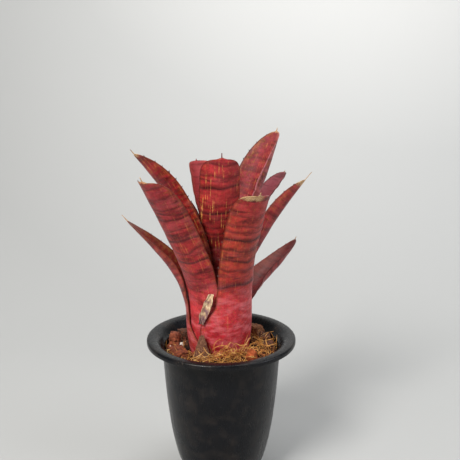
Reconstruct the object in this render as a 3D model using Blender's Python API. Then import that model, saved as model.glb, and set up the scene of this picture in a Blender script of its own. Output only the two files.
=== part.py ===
"""Potted bromeliad: a banded rosette standing in a round nursery pot.

Metres, +Z up.  The origin is the middle of the underside of the pot.
Azimuths are in degrees, 0 at the front (-Y) and growing towards +X.
Every loose piece is one closed body and stands GAP clear of its neighbours.
"""

import bpy
import bmesh
from math import acos, atan2, cos, pi, radians, sin, sqrt
from mathutils import Vector

MM = 0.001
GAP = 0.35 * MM                 # clearance between neighbouring pieces

# pot
POT_H = 80.0 * MM               # underside to the top of the rim
BODY_R = 31.6 * MM              # outside of the wall just under the rim
FLARE = 8.4 * MM                # how far the rim stands out from the wall
RIM_R = BODY_R + FLARE          # outside of the turned-down lip
WALL = 1.0 * MM
FLOOR = 1.4 * MM
LIP_DROP = 2.6 * MM             # height of the turned-down lip
HOLE_R = 3.4 * MM               # drain holes
HOLE_RING = 12.0 * MM
HOLES = 5

# growing mix, heights measured down from the rim
MIX_TOP = POT_H - 8.0 * MM

# plant: the sheaths nest round the stem like shells, layer 0 outermost
PLANT_X = -1.8 * MM             # the plant stands a little left of the pot axis
LEAF_T = 0.8 * MM
LEAF_GAP = 0.43 * MM            # clearance between nested sheaths
PITCH = LEAF_T + LEAF_GAP       # radius lost from one layer to the next
LAYERS = 12
CORE_R = 4.67 * MM              # outside of the innermost layer
BULB_R = CORE_R + (LAYERS - 1) * PITCH   # outside of layer 0 at its widest
BULGE_Z = POT_H + 11.0 * MM     # height of the widest point
ATTACH_Z = POT_H - 25.0 * MM    # where layer 0 leaves the stem
ATTACH_STEP = 1.8 * MM          # each layer leaves the stem this much higher
ATTACH_R = 5.0 * MM             # radius at which layer 0 starts
STEM_R = 3.9 * MM
STEM_TOP_R = 0.36 * CORE_R
STEM_BASE = POT_H - 34.0 * MM

# leaves, lengths in mm, angles in degrees
#   layer  nesting order          az     direction the blade leans
#   neck   height above the rim where the blade starts to leave the bulb
#   reach  tip distance from the plant axis
#   rise   tip height above the rim    lean   blade angle off vertical at the tip
#   hw     half width, along the arc   ch     radius of the channel
#   tip    length of the tapering end  p      bluntness of that end
#   wrap   half angle of the sheath    spine  length of the end spine
#   soft   how early the blade bends   roll   turn about its own length
#   hold   height above the rim up to which the sheath keeps its full wrap
LEAVES = {
    "leaf_front_right": dict(
        layer=0, az=41, neck=23, reach=32.5, rise=81, lean=22,
        hw=13.6, ch=13, tip=24, p=3.4, wrap=70, spine=2, soft=0.12, roll=-8, hold=9),
    "leaf_low_left": dict(
        layer=1, az=-98, neck=12, reach=51.5, rise=64.5, lean=44,
        hw=11, ch=7.4, tip=42, p=1.5, wrap=68, spine=4, soft=0.3, roll=2),
    "leaf_front_left": dict(
        layer=2, az=-45, neck=20, reach=49, rise=89.5, lean=30,
        hw=15, ch=12, tip=32, p=3.0, wrap=78, spine=3, soft=0.16),
    "leaf_low_right": dict(
        layer=3, az=138, neck=7.0, reach=70.5, rise=43, lean=42,
        hw=11.6, ch=8.8, tip=34, p=1.7, wrap=55, spine=2, soft=0.18, roll=-18),
    "leaf_low_back": dict(
        layer=4, az=-178, neck=12, reach=46, rise=58, lean=48,
        hw=9.5, ch=9, tip=30, p=1.6, wrap=74, spine=3, soft=0.3),
    "leaf_back_right": dict(
        layer=6, az=134, neck=34, reach=53, rise=85, lean=52,
        hw=6.6, ch=9, tip=16, p=2.0, wrap=80, spine=1, soft=0.2),
    "leaf_right": dict(
        layer=5, az=97, neck=20, reach=49.5, rise=87.5, lean=40,
        hw=11.2, ch=9.5, tip=40, p=1.7, wrap=80, spine=5, soft=0.15, roll=-28),
    "leaf_upper_left": dict(
        layer=7, az=-74, neck=34, reach=44, rise=100.5, lean=42,
        hw=10.6, ch=9.5, tip=26, p=1.8, wrap=80, spine=3, soft=0.22, roll=20),
    "leaf_back_left": dict(
        layer=8, az=-116, neck=38, reach=19.5, rise=75, lean=18,
        hw=5.8, ch=9, tip=14, p=2.2, wrap=75, spine=2, soft=0.25),
    "leaf_upper_right": dict(
        layer=9, az=118, neck=36, reach=36, rise=110, lean=17,
        hw=16.4, ch=13, tip=32, p=2.0, wrap=85, spine=2, soft=0.1, roll=0),
    "leaf_centre": dict(
        layer=10, az=10, neck=42, reach=15, rise=99, lean=4,
        hw=12, ch=12.5, tip=12, p=2.8, wrap=85, spine=3, soft=0.3),
    "leaf_inner_left": dict(
        layer=11, az=-136, neck=44, reach=16.5, rise=94, lean=8,
        hw=11.5, ch=11, tip=8, p=2.8, wrap=85, spine=1, soft=0.3),
}
SHEATH_ROWS = 6
BLADE_ROWS = 10
ACROSS = 10
TIP_STOPS = (0.45, 0.75, 0.93, 1.0)   # rows along the tapering end

# loose pieces on the mix, in the ring between the bulb and the pot wall:
# azimuth, seat (0 against the bulb, 1 against the wall), length round the
# pot, depth and height in mm, turn in degrees, how much the top narrows, and
# the share of the ring's width that a piece may fill beside another one
CHIPS = {
    "bark_shard_front": dict(az=-26, seat=0.1, size=(9.0, 2.6, 15.5), turn=4, taper=0.45, share=0.45),
    "bark_chunk_front_left": dict(az=-60, seat=0.9, size=(13.5, 8.0, 5.0), turn=-6, taper=0.85),
    "bark_chunk_left": dict(az=-100, seat=0.9, size=(10.0, 6.6, 7.4), turn=8, taper=0.75),
    "bark_chunk_back_left": dict(az=-127, seat=0.7, size=(8.6, 8.0, 5.2), turn=-14, taper=0.80),
    "bark_chip_back_left": dict(az=-153, seat=0.8, size=(10.0, 7.0, 4.4), turn=6, taper=0.85),
    "bark_chunk_back": dict(az=180, seat=0.6, size=(9.0, 8.2, 6.2), turn=16, taper=0.75),
    "bark_chip_back": dict(az=158, seat=0.7, size=(7.5, 6.8, 4.2), turn=-10, taper=0.85),
    "husk_chip_back_right": dict(az=133, seat=0.95, size=(11.0, 7.0, 7.0), turn=8, taper=0.82, share=0.74),
    "bark_chunk_right": dict(az=104, seat=0.85, size=(8.8, 7.6, 6.0), turn=-14, taper=0.75),
    "bark_chunk_front_right": dict(az=80, seat=0.9, size=(7.4, 5.8, 5.6), turn=16, taper=0.78),
    "clay_nugget_front": dict(az=42, seat=0.5, size=(6.8, 6.0, 6.6), turn=24, taper=0.70),
    "perlite_grain_left": dict(az=-84, seat=0.02, size=(2.4, 1.8, 4.4), turn=4, taper=0.8),
    "perlite_grain_back": dict(az=146, seat=0.02, size=(2.6, 2.0, 3.0), turn=-10, taper=0.8, share=0.22),
}

# papery scrap of an old sheath that still clings over the seam
SCRAP = dict(az=(-25.0, -9.0), slant=17.0, z=(12.5, 29.0), thick=0.4)

# tangles of husk fibre: azimuth, seat, half length round the pot, half
# depth, height
TUFTS = {
    "fibre_tangle_front": dict(az=13, seat=0.5, half=(6.6, 5.0), high=6.4),
    "fibre_tangle_right": dict(az=61, seat=0.5, half=(3.6, 4.2), high=5.6),
    "fibre_tangle_left": dict(az=-31, seat=0.97, half=(2.6, 2.4), high=4.0, share=0.5),
}


def srgb(text):
    out = []
    for i in (0, 2, 4):
        c = int(text[i:i + 2], 16) / 255.0
        out.append(c / 12.92 if c <= 0.04045 else ((c + 0.055) / 1.055) ** 2.4)
    return (out[0], out[1], out[2], 1.0)


def material(name, colour, rough):
    mat = bpy.data.materials.new(name)
    mat.use_nodes = True
    node = mat.node_tree.nodes["Principled BSDF"]
    node.inputs["Base Color"].default_value = srgb(colour)
    node.inputs["Roughness"].default_value = rough
    mat.diffuse_color = srgb(colour)
    return mat


def add_body(name, verts, faces, mat, smooth=True):
    mesh = bpy.data.meshes.new(name)
    mesh.from_pydata([tuple(v) for v in verts], [], faces)
    bm = bmesh.new()
    bm.from_mesh(mesh)
    bmesh.ops.recalc_face_normals(bm, faces=bm.faces[:])
    bm.to_mesh(mesh)
    bm.free()
    mesh.validate()
    for poly in mesh.polygons:
        poly.use_smooth = smooth
    mesh.materials.append(mat)
    obj = bpy.data.objects.new(name, mesh)
    bpy.context.scene.collection.objects.link(obj)
    return obj


def heading(az):
    """Unit vectors at one azimuth: outwards, and sideways to the right."""
    a = radians(az)
    return Vector((sin(a), -cos(a), 0.0)), Vector((cos(a), sin(a), 0.0))


def ease(x):
    x = min(1.0, max(0.0, x))
    return x * x * (3.0 - 2.0 * x)


def lathe(name, profile, segments, mat, shift=None):
    """Turn a profile that starts and ends on the axis.

    shift gives the x of each ring's middle, 0 when it is left out.
    """
    shift = shift or [0.0] * len(profile)
    verts = [Vector((shift[0], 0.0, profile[0][1]))]
    inner = profile[1:-1]
    for (r, z), cx in zip(inner, shift[1:-1]):
        for j in range(segments):
            a = 2.0 * pi * j / segments
            verts.append(Vector((cx + r * cos(a), r * sin(a), z)))
    verts.append(Vector((shift[-1], 0.0, profile[-1][1])))
    last = len(verts) - 1
    faces = []
    for j in range(segments):
        k = (j + 1) % segments
        faces.append((0, 1 + k, 1 + j))
        for i in range(len(inner) - 1):
            a, b = 1 + i * segments, 1 + (i + 1) * segments
            faces.append((a + j, a + k, b + k, b + j))
        a = 1 + (len(inner) - 1) * segments
        faces.append((a + j, a + k, last))
    return add_body(name, verts, faces, mat)


# ---------------------------------------------------------------- pot
# outside of the wall as (height, radius) fractions, from the foot upwards
WALL_LINE = ((0.030, 0.655), (0.092, 0.700), (0.169, 0.772), (0.31, 0.852),
             (0.435, 0.902), (0.62, 0.952), (0.81, 0.987), (0.90, 1.0))


def wall_radius(z):
    """Outside radius of the pot wall at height z."""
    line = [(h * POT_H, r * BODY_R) for h, r in WALL_LINE]
    if z <= line[0][0]:
        return line[0][1]
    for (z0, r0), (z1, r1) in zip(line, line[1:]):
        if z <= z1:
            return r0 + (r1 - r0) * (z - z0) / (z1 - z0)
    return line[-1][1]


def build_pot(mat):
    outer = [(0.0, 0.0), (0.60 * BODY_R, 0.0), (0.635 * BODY_R, 0.010 * POT_H)]
    outer += [(r * BODY_R, h * POT_H) for h, r in WALL_LINE]
    top = POT_H
    rim = [(BODY_R + 0.04 * FLARE, top - 5.0 * MM),
           (BODY_R + 0.16 * FLARE, top - 3.0 * MM),
           (BODY_R + 0.42 * FLARE, top - 1.5 * MM),
           (RIM_R - 1.1 * MM, top - 1.2 * MM),
           (RIM_R - 1.1 * MM, top - LIP_DROP),
           (RIM_R - 0.1 * MM, top - LIP_DROP),
           (RIM_R, top - LIP_DROP + 0.2 * MM),
           (RIM_R, top - 0.9 * MM),
           (RIM_R - 0.7 * MM, top - 0.1 * MM),
           (RIM_R - 1.5 * MM, top),
           (BODY_R + 0.52 * FLARE, top),
           (BODY_R + 0.30 * FLARE, top - 0.5 * MM),
           (BODY_R + 0.13 * FLARE, top - 2.0 * MM),
           (BODY_R - 0.6 * WALL, top - 4.5 * MM)]
    inner = [(r * BODY_R - WALL, h * POT_H) for h, r in reversed(WALL_LINE[1:])]
    inner += [(0.655 * BODY_R - WALL, FLOOR + 0.02 * POT_H),
              (0.60 * BODY_R, FLOOR), (0.0, FLOOR)]
    pot = lathe("pot", outer + rim + inner, 40, mat)
    ring = bpy.data.collections.new("drain_cutters")
    bpy.context.scene.collection.children.link(ring)
    for i in range(HOLES):
        out, _ = heading(36.0 + 360.0 * i / HOLES)
        bpy.ops.mesh.primitive_cylinder_add(
            vertices=20, radius=HOLE_R, depth=4.0 * FLOOR,
            location=out * HOLE_RING + Vector((0.0, 0.0, 0.5 * FLOOR)))
        cutter = bpy.context.object
        cutter.name = "drain_cutter_%d" % (i + 1)
        for home in list(cutter.users_collection):
            home.objects.unlink(cutter)
        ring.objects.link(cutter)
        cutter.hide_render = True
        cutter.display_type = "WIRE"
    cut = pot.modifiers.new("drain", "BOOLEAN")
    cut.operation = "DIFFERENCE"
    cut.operand_type = "COLLECTION"
    cut.collection = ring
    cut.solver = "EXACT"
    return pot


# ------------------------------------------------- growing mix and stem
def shell_point(layer, theta):
    """Point of a layer's outer face between the stem and the bulge."""
    r_top = BULB_R - layer * PITCH
    r0 = ATTACH_R + (0.5 * CORE_R - ATTACH_R) * layer / (LAYERS - 1)
    z0 = ATTACH_Z + ATTACH_STEP * layer
    h = BULGE_Z - z0
    return r0 + (r_top - r0) * sin(theta), z0 + h * (1.0 - cos(theta))


def build_mix(mat):
    """Fills the pot under the chips, with a cup that takes the bulb."""
    foot = FLOOR + GAP
    side = [(0.0, foot), (0.57 * BODY_R, foot)]
    for h in (0.092, 0.169, 0.31, 0.435, 0.62, 0.81):
        side.append((wall_radius(h * POT_H) - WALL - 1.2 * GAP, h * POT_H))
    side.append((wall_radius(MIX_TOP) - WALL - 1.2 * GAP, MIX_TOP))
    cup = []
    rim_theta = acos(1.0 - (MIX_TOP - ATTACH_Z) / (BULGE_Z - ATTACH_Z))
    for i in range(6):
        r, z = shell_point(0, rim_theta * (1.0 - i / 5.0) + radians(6) * i / 5.0)
        cup.append((r + 0.9 * MM, z - (0.0 if i == 0 else 0.6 * MM)))
    cup[0] = (cup[0][0], MIX_TOP)
    well = STEM_R + 0.8 * MM
    cup += [(well, cup[-1][1]), (well, STEM_BASE - GAP), (0.0, STEM_BASE - GAP)]
    shift = [0.0] * len(side) + [PLANT_X] * len(cup)
    return lathe("growing_mix", side + cup, 40, mat, shift)


def build_stem(mat):
    top = ATTACH_Z + ATTACH_STEP * (LAYERS - 1)
    line = [(0.0, STEM_BASE), (0.8 * STEM_R, STEM_BASE),
            (STEM_R, STEM_BASE + 1.5 * MM), (STEM_R, ATTACH_Z - 1.0 * MM),
            (STEM_TOP_R, top), (0.8 * STEM_TOP_R, top + 4.0 * MM),
            (0.0, top + 5.0 * MM)]
    return lathe("stem", line, 20, mat, [PLANT_X] * len(line))


# ------------------------------------------------------------- leaves
def leaf_midline(leaf):
    """Rows of (radius, height, angle off vertical, distance past the neck)."""
    layer = leaf["layer"]
    r_top = BULB_R - layer * PITCH
    z0 = ATTACH_Z + ATTACH_STEP * layer
    neck = POT_H + leaf["neck"] * MM
    end = pi / 2 if neck >= BULGE_Z else acos(1.0 - (neck - z0) / (BULGE_Z - z0))
    rows = []
    for i in range(SHEATH_ROWS):
        theta = radians(9) + (end - radians(9)) * i / (SHEATH_ROWS - 1)
        r, z = shell_point(layer, theta)
        r0 = shell_point(layer, 0.0)[0]
        lean = atan2((r_top - r0) * cos(theta), (BULGE_Z - z0) * sin(theta))
        rows.append((r, z, lean, -1.0))
    if neck > BULGE_Z:
        steps = max(1, int((neck - BULGE_Z) / (9.0 * MM)) + 1)
        for i in range(1, steps + 1):
            rows.append((r_top, BULGE_Z + (neck - BULGE_Z) * i / steps, 0.0, -1.0))
    r, z, lean0, _ = rows[-1]
    tip_lean = radians(leaf["lean"])
    p0 = Vector((r, z))
    p3 = Vector((leaf["reach"] * MM, POT_H + leaf["rise"] * MM))
    chord = (p3 - p0).length
    p1 = p0 + Vector((sin(lean0), cos(lean0))) * chord * leaf["soft"]
    p2 = p3 - Vector((sin(tip_lean), cos(tip_lean))) * chord * 0.45
    where, walked = p0, 0.0
    fine = 120
    points = []
    for i in range(1, fine + 1):
        t = i / fine
        s = 1.0 - t
        here = s * s * s * p0 + 3 * s * s * t * p1 + 3 * s * t * t * p2 + t * t * t * p3
        slope = 3 * s * s * (p1 - p0) + 6 * s * t * (p2 - p1) + 3 * t * t * (p3 - p2)
        walked += (here - where).length
        where = here
        points.append((here.x, here.y, atan2(slope.x, slope.y), walked))
    spine = leaf["spine"] * MM
    body = walked - spine - leaf["tip"] * MM
    plain = BLADE_ROWS - len(TIP_STOPS)
    stops = [body * i / plain for i in range(1, plain + 1)]
    stops += [body + leaf["tip"] * MM * q for q in TIP_STOPS]
    for stop in stops + [walked]:
        rows.append(min(points, key=lambda q: abs(q[3] - stop))
                    if stop < walked else points[-1])
    return rows, walked


def build_leaf(name, leaf, mat):
    rows, length = leaf_midline(leaf)
    out, right = heading(leaf["az"])
    up = Vector((0.0, 0.0, 1.0))
    hw, ch, spine = leaf["hw"] * MM, leaf["ch"] * MM, leaf["spine"] * MM
    neck = POT_H + leaf["neck"] * MM
    r_neck = [q for q in rows if q[3] < 0.0][-1][0]
    wrap = radians(leaf["wrap"])
    wrap_neck = min(radians(84), hw / r_neck)
    flare_z = POT_H + leaf.get("hold", -4.0) * MM
    tip = leaf["tip"] * MM
    centre = Vector((PLANT_X, 0.0, 0.0))

    def face(inset):
        """Grid of points; inset 0 is the outer face, 1 the inner one."""
        grid = []
        for r, z, lean, dist in rows:
            thick = LEAF_T
            normal = -out * cos(lean) + up * sin(lean)
            if dist < 0.0:
                turn = ease((z - flare_z) / (neck - flare_z))
                half = wrap + (wrap_neck - wrap) * turn
                r_in = r - inset * thick * cos(lean)
                z_in = z + inset * thick * sin(lean)
                row = [centre + up * z_in + r_in * (sin(u * half) * right + cos(u * half) * out)
                       for u in (2.0 * j / ACROSS - 1.0 for j in range(ACROSS + 1))]
                grid.append(row)
                continue
            q = min(1.0, max(0.0, (dist - (length - spine - tip)) / tip))
            shape = (1.0 - q ** leaf["p"]) ** (1.0 / leaf["p"])
            width = max(hw * shape, 0.45 * MM)
            thick = LEAF_T * (1.0 - 0.35 * q)
            rho = r_neck + (ch - r_neck) * ease(dist / (30.0 * MM))
            half = min(radians(86), width / rho)
            half = wrap_neck + (half - wrap_neck) * ease(dist / (18.0 * MM))
            blend = ease(dist / (10.0 * MM))
            normal = (-out * (1.0 - blend) + normal * blend).normalized()
            roll = radians(leaf.get("roll", 0)) * ease(dist / (0.7 * length))
            across = right * cos(roll) + normal * sin(roll)
            normal = normal * cos(roll) - right * sin(roll)
            middle = centre + out * r + up * z + normal * rho
            row = [middle + (rho - inset * thick)
                   * (sin(u * half) * across - cos(u * half) * normal)
                   for u in (2.0 * j / ACROSS - 1.0 for j in range(ACROSS + 1))]
            grid.append(row)
        return grid

    outer, inner = face(0.0), face(1.0)
    n, w = len(rows), ACROSS + 1
    verts = [v for row in outer for v in row] + [v for row in inner for v in row]
    back = n * w
    faces = []
    for i in range(n - 1):
        for j in range(ACROSS):
            a = i * w + j
            faces.append((a, a + 1, a + w + 1, a + w))
            faces.append((back + a, back + a + w, back + a + w + 1, back + a + 1))
        a, b = i * w, i * w + ACROSS
        faces.append((a, a + w, back + a + w, back + a))
        faces.append((b, back + b, back + b + w, b + w))
    for j in range(ACROSS):
        a, b = j, (n - 1) * w + j
        faces.append((a, back + a, back + a + 1, a + 1))
        faces.append((b, b + 1, back + b + 1, back + b))
    return add_body(name, verts, faces, mat)


def build_scrap(mat):
    """A thin curved flake just outside the outermost sheath."""
    inner = BULB_R + GAP
    outer = inner + SCRAP["thick"] * MM
    (a0, a1), (z0, z1) = SCRAP["az"], SCRAP["z"]
    cols, rows = 4, 5
    verts = []
    for radius in (outer, inner):
        for i in range(rows + 1):
            v = i / rows
            pull = 0.25 + 0.75 * sin(pi * (0.15 + 0.7 * v))
            for j in range(cols + 1):
                a = 0.5 * (a0 + a1) + SCRAP["slant"] * (v - 0.5) + (j / cols - 0.5) * (a1 - a0) * pull
                out, _ = heading(a)
                verts.append(out * radius + Vector((PLANT_X, 0.0, POT_H + (z0 + (z1 - z0) * v) * MM)))
    w, back = cols + 1, (rows + 1) * (cols + 1)
    faces = []
    for i in range(rows):
        for j in range(cols):
            a = i * w + j
            faces.append((a, a + 1, a + w + 1, a + w))
            faces.append((back + a, back + a + w, back + a + w + 1, back + a + 1))
        a, b = i * w, i * w + cols
        faces.append((a, a + w, back + a + w, back + a))
        faces.append((b, back + b, back + b + w, b + w))
    for j in range(cols):
        a, b = j, rows * w + j
        faces.append((a, back + a, back + a + 1, a + 1))
        faces.append((b, b + 1, back + b + 1, back + b))
    return add_body("dry_sheath_scrap", verts, faces, mat)


# -------------------------------------------------------- loose pieces
def ring_place(az, seat, half_length, half_depth, share=1.0):
    """Distance from the pot axis, and the half depth that the ring leaves."""
    inner = BULB_R + PLANT_X * sin(radians(az)) + GAP
    wall = wall_radius(MIX_TOP) - WALL - GAP
    outer = sqrt(wall * wall - half_length * half_length)
    half_depth = min(half_depth, 0.5 * share * (outer - inner))
    return inner + half_depth + (outer - inner - 2.0 * half_depth) * seat, half_depth


def build_chip(name, chip, mat):
    """A knocked-about block with a flat base and bevelled edges."""
    out, right = heading(chip["az"])
    length, depth, high = (s * MM for s in chip["size"])
    turn = radians(chip["turn"])
    along = right * cos(turn) + out * sin(turn)
    inward = out * cos(turn) - right * sin(turn)
    swing = 0.5 * abs(sin(turn)) * length
    at, room = ring_place(chip["az"], chip["seat"], 0.42 * length, 0.5 * depth + 0.7 * swing,
                          chip.get("share", 1.0))
    depth = min(depth, 2.0 * (room - 0.7 * swing))
    base = out * at + Vector((0.0, 0.0, MIX_TOP + GAP))
    taper = chip["taper"]
    bm = bmesh.new()
    bmesh.ops.create_cube(bm, size=1.0)
    bmesh.ops.subdivide_edges(bm, edges=bm.edges[:], cuts=1, use_grid_fill=True)
    for v in bm.verts:
        x, y, z = v.co * 2.0
        level = 0.5 * (z + 1.0)
        round_off = 1.0 - 0.14 * (abs(x) * abs(y))
        pinch = 1.0 - (1.0 - taper) * level
        wobble = 0.07 * sin(7.0 * x + 4.0 * y + chip["az"]) * level
        px = 0.5 * length * x * round_off * (pinch + wobble)
        py = 0.5 * depth * y * round_off * (pinch - wobble)
        pz = high * level * (1.0 - 0.16 * (x * x + y * y) * level * 0.5
                             + 0.08 * sin(5.0 * x - 3.0 * y + chip["az"]) * level)
        v.co = base + along * px + inward * py + Vector((0.0, 0.0, min(pz, high)))
    mesh = bpy.data.meshes.new(name)
    bm.to_mesh(mesh)
    bm.free()
    verts = [v.co.copy() for v in mesh.vertices]
    faces = [tuple(p.vertices) for p in mesh.polygons]
    bpy.data.meshes.remove(mesh)
    return add_body(name, verts, faces, mat, smooth=False)


def build_tuft(name, tuft, mat):
    """A low mound that stands for one tangle of loose fibres."""
    out, right = heading(tuft["az"])
    a, b, high = tuft["half"][0] * MM, tuft["half"][1] * MM, tuft["high"] * MM
    at, b = ring_place(tuft["az"], tuft["seat"], 0.6 * a, b, tuft.get("share", 1.0))
    base = out * at + Vector((0.0, 0.0, MIX_TOP + GAP))
    rings, sides = 4, 16
    verts = [base]
    for i in range(rings):
        lift = sin(0.5 * pi * i / rings)
        spread = cos(0.5 * pi * i / rings) ** 0.7
        for j in range(sides):
            t = 2.0 * pi * j / sides
            verts.append(base + right * (a * spread * cos(t)) + out * (b * spread * sin(t))
                         + Vector((0.0, 0.0, high * lift)))
    verts.append(base + Vector((0.0, 0.0, high)))
    faces = []
    last = len(verts) - 1
    for j in range(sides):
        k = (j + 1) % sides
        faces.append((0, 1 + k, 1 + j))
        for i in range(rings - 1):
            p, q = 1 + i * sides, 1 + (i + 1) * sides
            faces.append((p + j, p + k, q + k, q + j))
        p = 1 + (rings - 1) * sides
        faces.append((p + j, p + k, last))
    return add_body(name, verts, faces, mat)


for obj in list(bpy.data.objects):
    bpy.data.objects.remove(obj, do_unlink=True)

build_pot(material("pot_plastic", "2B2D30", 0.55))
build_mix(material("growing_mix", "3A2418", 0.95))
build_stem(material("stem_tissue", "8A6A4A", 0.8))
leaf_mat = material("leaf_tissue", "8E3038", 0.45)
for leaf_name, leaf_spec in LEAVES.items():
    build_leaf(leaf_name, leaf_spec, leaf_mat)
build_scrap(material("dry_sheath", "C9A878", 0.8))
bark_mat = material("bark_chips", "6B3A26", 0.9)
clay_mat = material("clay_nugget", "B5532E", 0.9)
grain_mat = material("perlite", "E8E4DC", 0.9)
for chip_name, chip_spec in CHIPS.items():
    mat = bark_mat
    if chip_name.startswith("clay"):
        mat = clay_mat
    elif chip_name.startswith("perlite"):
        mat = grain_mat
    build_chip(chip_name, chip_spec, mat)
fibre_mat = material("husk_fibre", "B07A3C", 0.85)
for tuft_name, tuft_spec in TUFTS.items():
    build_tuft(tuft_name, tuft_spec, fibre_mat)
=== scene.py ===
"""Looks of the potted bromeliad: a banded red rosette in a black nursery pot."""
import bpy
import random
from math import acos, atan2, cos, pi, radians, sin
from mathutils import Matrix, Vector, noise


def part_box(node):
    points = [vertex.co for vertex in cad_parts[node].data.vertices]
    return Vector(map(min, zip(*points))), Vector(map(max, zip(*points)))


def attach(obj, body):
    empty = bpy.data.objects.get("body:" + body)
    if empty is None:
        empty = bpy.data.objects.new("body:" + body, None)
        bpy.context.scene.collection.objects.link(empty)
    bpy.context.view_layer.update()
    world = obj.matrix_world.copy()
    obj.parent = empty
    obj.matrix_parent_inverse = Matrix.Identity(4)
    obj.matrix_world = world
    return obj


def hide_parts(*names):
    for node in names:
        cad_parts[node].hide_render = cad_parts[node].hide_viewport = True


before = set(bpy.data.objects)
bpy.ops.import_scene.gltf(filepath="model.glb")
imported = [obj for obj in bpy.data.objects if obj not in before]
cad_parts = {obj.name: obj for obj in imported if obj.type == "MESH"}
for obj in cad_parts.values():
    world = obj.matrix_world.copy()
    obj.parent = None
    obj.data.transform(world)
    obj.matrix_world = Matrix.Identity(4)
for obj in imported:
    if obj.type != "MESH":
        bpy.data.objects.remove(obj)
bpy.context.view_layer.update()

MM = 0.001

# ---------------------------------------------------------------- camera
# A still camera a little above the rim of the pot, looking slightly down at
# the plant.
def put(name, data):
    """A new object in the scene, made of this data."""
    new = bpy.data.objects.new(name, data)
    bpy.context.scene.collection.objects.link(new)
    return new


camera_data = bpy.data.cameras.new("camera")
camera_data.sensor_width = 36.0
camera_data.lens = 47.03
camera = put("camera", camera_data)
camera.location = (0.0047, -0.3068, 0.2015)
camera.rotation_euler = (radians(78.3), 0.0, 0.0)
bpy.context.scene.camera = camera
bpy.context.scene.view_settings.view_transform = "Standard"


# ----------------------------------------------------- backdrop and lights
# A sheet of matt pale studio paper, laid flat under the pot and curved up
# behind it in one sweep.  Soft boxes stand to the upper left and the right.
def srgb(text):
    out = []
    for i in (0, 2, 4):
        c = int(text[i:i + 2], 16) / 255.0
        out.append(c / 12.92 if c <= 0.04045 else ((c + 0.055) / 1.055) ** 2.4)
    return (out[0], out[1], out[2], 1.0)


def node(tree, kind, inputs=(), stops=None, **settings):
    """Adds a node, or sets the one given.  Inputs, by name or in order, are values,
    hex colours, sockets or nodes, which stand for their first output in use; stops
    are a ramp's colours."""
    new = tree.nodes.new("ShaderNode" + kind) if isinstance(kind, str) else kind
    for key, value in settings.items():
        setattr(new, key, value)
    for key, value in inputs.items() if isinstance(inputs, dict) else enumerate(inputs):
        if isinstance(value, bpy.types.Node):
            value = next(socket for socket in value.outputs if socket.enabled)
        if isinstance(value, bpy.types.NodeSocket):
            tree.links.new(value, new.inputs[key])
        else:
            new.inputs[key].default_value = srgb(value) if isinstance(value, str) else value
    if stops:
        marks = new.color_ramp.elements
        while len(marks) < len(stops):
            marks.new(0.5)
        for mark, (place, colour) in zip(marks, stops):
            mark.position = place
            mark.color = srgb(colour) if isinstance(colour, str) else (colour,) * 3 + (1.0,)
    return new


def surface(name, laid_by=None):
    """A new material, its node tree, its Principled shader, and the place on the
    object, or the attribute, that its patterns are laid by."""
    mat = bpy.data.materials.new(name)
    mat.use_nodes = True
    if laid_by:
        where = node(mat.node_tree, "Attribute", attribute_name=laid_by).outputs["Vector"]
    else:
        where = node(mat.node_tree, "TexCoord").outputs["Object"]
    return mat, mat.node_tree, mat.node_tree.nodes["Principled BSDF"], where


def pick(*pieces):
    """Selects these objects alone and makes the first one active."""
    bpy.ops.object.select_all(action="DESELECT")
    for piece in pieces:
        piece.select_set(True)
    bpy.context.view_layer.objects.active = pieces[0]


def mode(name):
    """Goes to edit mode or back to object mode."""
    bpy.ops.object.mode_set(mode=name)


SWEEP_W, SWEEP_FRONT, SWEEP_BACK, SWEEP_H = 2.6, -1.0, 0.62, 1.6
bpy.ops.mesh.primitive_plane_add(size=1.0, location=(0.0, 0.5 * (SWEEP_FRONT + SWEEP_BACK), 0.0))
sweep = bpy.context.object
sweep.name = "studio_paper"
sweep.scale = (SWEEP_W, SWEEP_BACK - SWEEP_FRONT, 1.0)
bpy.ops.object.transform_apply(location=True, rotation=True, scale=True)
mode("EDIT")
bpy.ops.mesh.select_all(action="DESELECT")
mode("OBJECT")
for edge in sweep.data.edges:
    edge.select = all(sweep.data.vertices[i].co.y > SWEEP_BACK - 0.01 for i in edge.vertices)
mode("EDIT")
bpy.ops.mesh.select_mode(type="EDGE")
bpy.ops.mesh.extrude_edges_move(TRANSFORM_OT_translate={"value": (0.0, 0.0, SWEEP_H)})
mode("OBJECT")
for edge in sweep.data.edges:
    edge.select = all(sweep.data.vertices[i].co.y > SWEEP_BACK - 0.01
                      and sweep.data.vertices[i].co.z < 0.01 for i in edge.vertices)
mode("EDIT")
bpy.ops.mesh.bevel(offset=0.45, segments=24, affect="EDGES")
mode("OBJECT")
bpy.ops.object.shade_smooth()

# matt paper: pale grey with the faintest mottling, made a shade brighter high
# up on the right by a painted pool of light
paper, tree, shader, where = surface("matt_paper")
painted_light_pool = node(tree, "Mapping", {0: where, "Location": (-0.30, -0.62, -0.80), "Scale": (1.15, 0.6, 1.25)})
painted_light_pool = node(tree, "TexGradient", (painted_light_pool,), gradient_type="SPHERICAL")
tone = node(tree, "ValToRGB", (painted_light_pool.outputs["Fac"],),
              stops=((0.0, "AFB0AF"), (0.30, "C2C3C2"), (0.75, "F1F1EF")))
grain = node(tree, "TexNoise", {"Vector": where, "Scale": 900.0, "Detail": 2.0})
tooth = node(tree, "Bump", {"Strength": 0.1, "Distance": 0.0002, "Height": grain})
node(tree, shader, {"Base Color": tone, "Normal": tooth, "Roughness": 0.9, "Specular IOR Level": 0.2})
sweep.data.materials.append(paper)

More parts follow.
